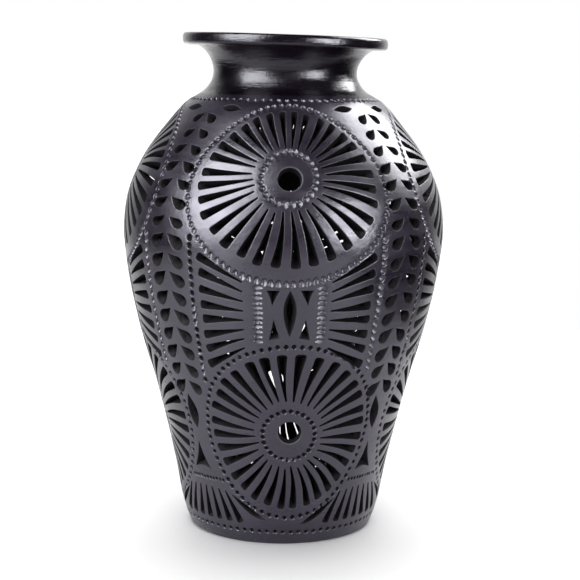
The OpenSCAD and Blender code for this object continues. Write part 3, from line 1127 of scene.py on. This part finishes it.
def softbox(name, az, height, distance, size, power):
    """A rectangular studio light aimed at the pot; az is its bearing in degrees, 0 in front of
    the pot and + to the right. It shines on the clay's gloss but adds nothing to the floor."""
    obj, light = new_light(name, "AREA", power)
    light.shape = "RECTANGLE"
    light.size, light.size_y = size
    t = math.radians(az)
    obj.location = (distance * math.sin(t), -distance * math.cos(t), height)
    obj.rotation_mode = "QUATERNION"
    obj.rotation_quaternion = (LIT - obj.location).to_track_quat("-Z", "Y")
    obj.visible_camera = False
    obj.visible_diffuse = False


def wash(name, energy, tilt, angle):
    """Soft light on the floor and clay that the clay's gloss does not show; tilt is how many
    degrees off overhead it comes from, to the front or, when negative, from behind."""
    obj, light = new_light(name, "SUN", energy)
    light.angle = math.radians(angle)
    obj.rotation_euler = (math.radians(tilt), 0, 0)
    obj.visible_glossy = False


def studio_world():
    """White to the camera; otherwise white behind the pot and dim on the camera's side."""
    world = bpy.data.worlds.new("studio")
    bpy.context.scene.world = world
    world.use_nodes = True
    world.node_tree.nodes.clear()
    n = Nodes(world.node_tree)
    direction = n.add("TexCoord").outputs["Generated"]
    parts = n.add("SeparateXYZ", {0: direction}).outputs
    level = n.remap(parts[1], 0.5, 0.85, WORLD_FRONT, WORLD_BACK)
    level.node.interpolation_type = "SMOOTHSTEP"
    low = n.remap(parts[2], 0.5, 0.8, 1.0, WORLD_FRONT)
    level = n.math("MULTIPLY", level, low)
    around = n.add("Background", {"Color": (1, 1, 1, 1), "Strength": level})
    white = n.add("Background", {"Color": (1, 1, 1, 1), "Strength": 1.0})
    seen = n.add("LightPath").outputs["Is Camera Ray"]
    both = n.add("MixShader", {0: seen, 1: around.outputs[0], 2: white.outputs[0]})
    n.add("OutputWorld", {"Surface": both.outputs[0]})


def photo_camera():
    data = bpy.data.cameras.new("camera")
    data.lens = CAM_LENS
    data.sensor_width = 36
    cam = new_object("camera", data)
    bpy.context.scene.camera = cam
    t = math.radians(CAM_BEARING)
    cam.location = (CAM_DISTANCE * math.sin(t), -CAM_DISTANCE * math.cos(t), CAM_HEIGHT)
    facing = (Matrix.Rotation(t - math.radians(CAM_ASIDE), 3, "Z")
              @ Matrix.Rotation(math.radians(90 - CAM_PITCH), 3, "X")
              @ Matrix.Rotation(math.radians(CAM_ROLL), 3, "Z"))
    cam.rotation_mode = "QUATERNION"
    cam.rotation_quaternion = facing.to_quaternion()
    data.clip_start, data.clip_end = 0.01, 100


# ---------------- put together
CARVED = clay("carved_clay", (0.0135, 0.0078, 0.0225, 1), (0.008, 0.0043, 0.0135, 1),
              (0.006, 0.0038, 0.0078, 1), gloss=0.3, coat=0.0, bump=0.0004, shine=0.66)
RAW = clay("raw_clay", (0.008, 0.0065, 0.0085, 1), (0.005, 0.004, 0.0055, 1),
           (0.005, 0.004, 0.0052, 1), gloss=0.45, coat=0.0, bump=0.0006, shine=0.16)
BURNISHED = clay("burnished_clay", (0.0075, 0.0038, 0.009, 1), (0.0045, 0.0022, 0.0055, 1),
                 (0.005, 0.0036, 0.0055, 1), gloss=0.2, coat=0.05, bump=0.0005, shine=0.38,
                 drawn=9.0)

points, normals, paint, courses = carved_wall()
for name, faces in zip(COURSES, courses):
    make_piece("wall_" + name, points, normals, faces, paint, [name], "carved_clay",
               [CARVED, RAW])
make_piece("floor_slab", *floor_slab(), ["base_disc"], "carved_clay", [RAW])
for name, points, normals, faces, paint in neck():
    make_piece("turned_" + name, points, normals, faces, paint, [name], "burnished_clay",
               [BURNISHED, RAW])

bpy.ops.mesh.primitive_plane_add(size=1, location=(sum(FLOOR_X) / 2, sum(FLOOR_Y) / 2, -0.0002))
floor = bpy.context.object
floor.scale = (FLOOR_X[1] - FLOOR_X[0], FLOOR_Y[1] - FLOOR_Y[0], 1)
floor.name = "studio_floor"
floor.data.materials.append(floor_material())

studio_world()
softbox("left_softbox", az=-52, height=0.78, distance=1.25, size=(1.05, 1.45), power=84)
softbox("right_softbox", az=45, height=0.42, distance=1.4, size=(0.7, 0.6), power=32)
softbox("right_high", az=120, height=1.08, distance=1.1, size=(0.8, 1.05), power=42)
wash("back_wash", energy=3.85, tilt=-16, angle=72)
wash("front_wash", energy=1.7, tilt=52, angle=60)
photo_camera()
bpy.context.scene.view_settings.view_transform = "Standard"
